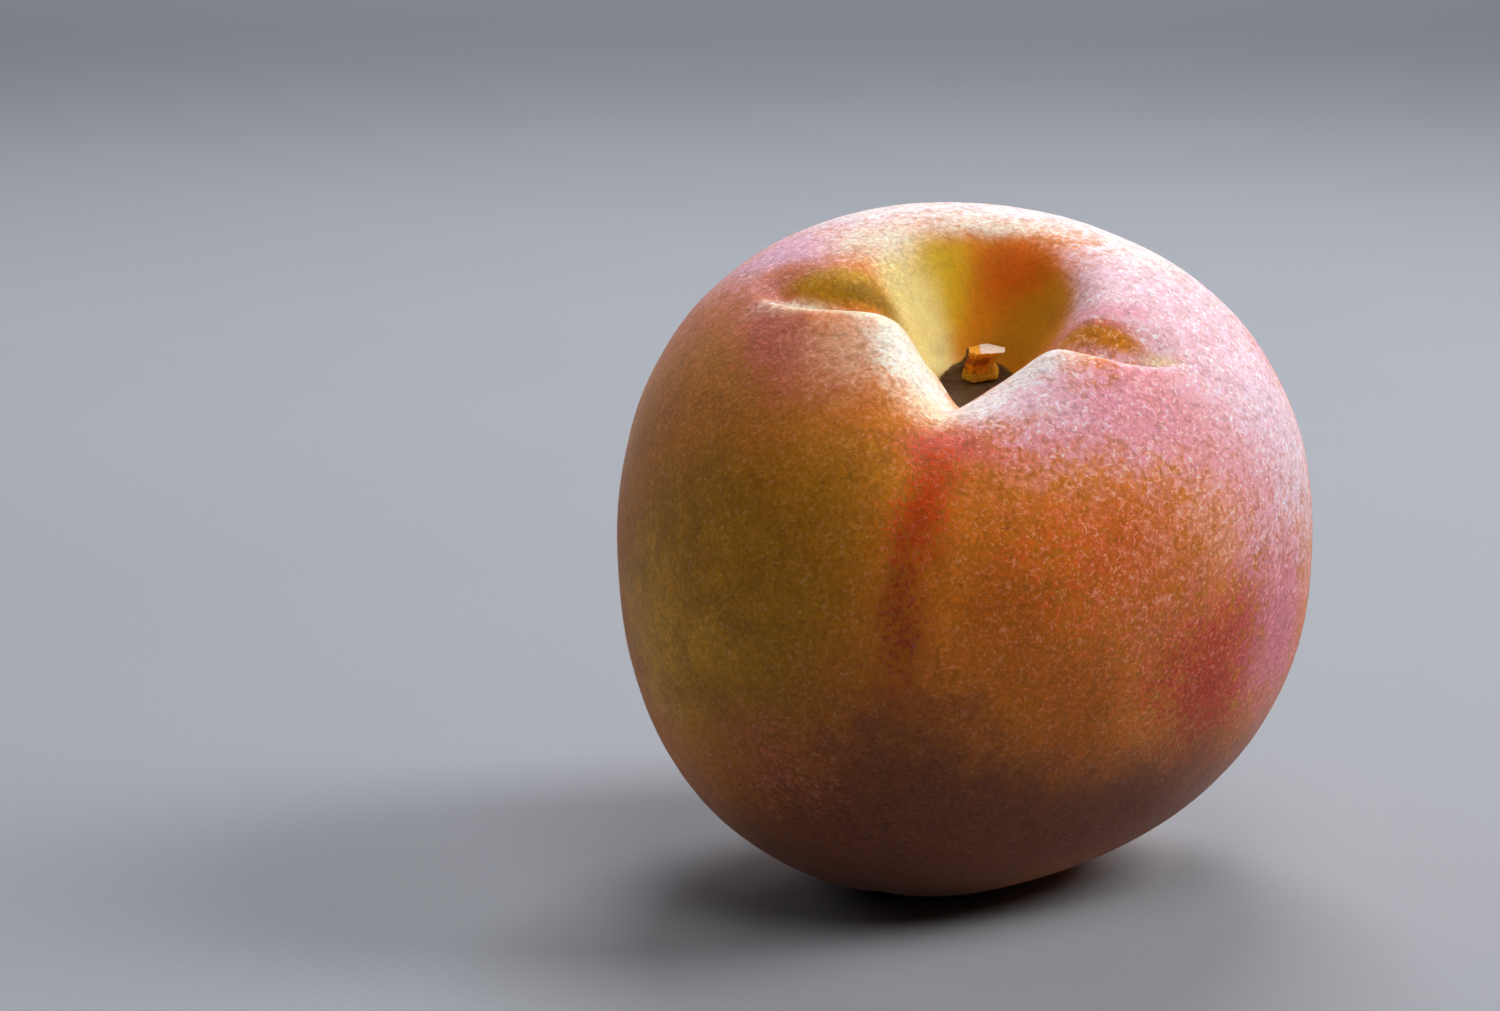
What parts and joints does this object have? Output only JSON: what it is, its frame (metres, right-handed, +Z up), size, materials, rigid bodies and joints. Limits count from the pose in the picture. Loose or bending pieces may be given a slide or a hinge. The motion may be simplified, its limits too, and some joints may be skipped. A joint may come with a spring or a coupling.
{
  "type": "peach",
  "caption": "Ripe peach lying on a small flat spot, stem end tipped forward, with a deep stalk cavity, a notched suture and creases beside it, and the snapped stub of its stalk.",
  "frame": {"origin": "middle of the flat spot that the fruit rests on", "axes": "+Z up from the surface it lies on, -Y the side with the suture, toward which the stem end is tipped, +X to the right seen from there"},
  "size_m": [0.0748, 0.0763, 0.0725],
  "materials": {
    "peach_skin": "matt, velvety with fine hairs",
    "stalk_wood": "dry and rough"
  },
  "bodies": {
    "root": {"peach_fruit": "peach_skin", "stem_stub": "stalk_wood"}
  },
  "joints": []
}
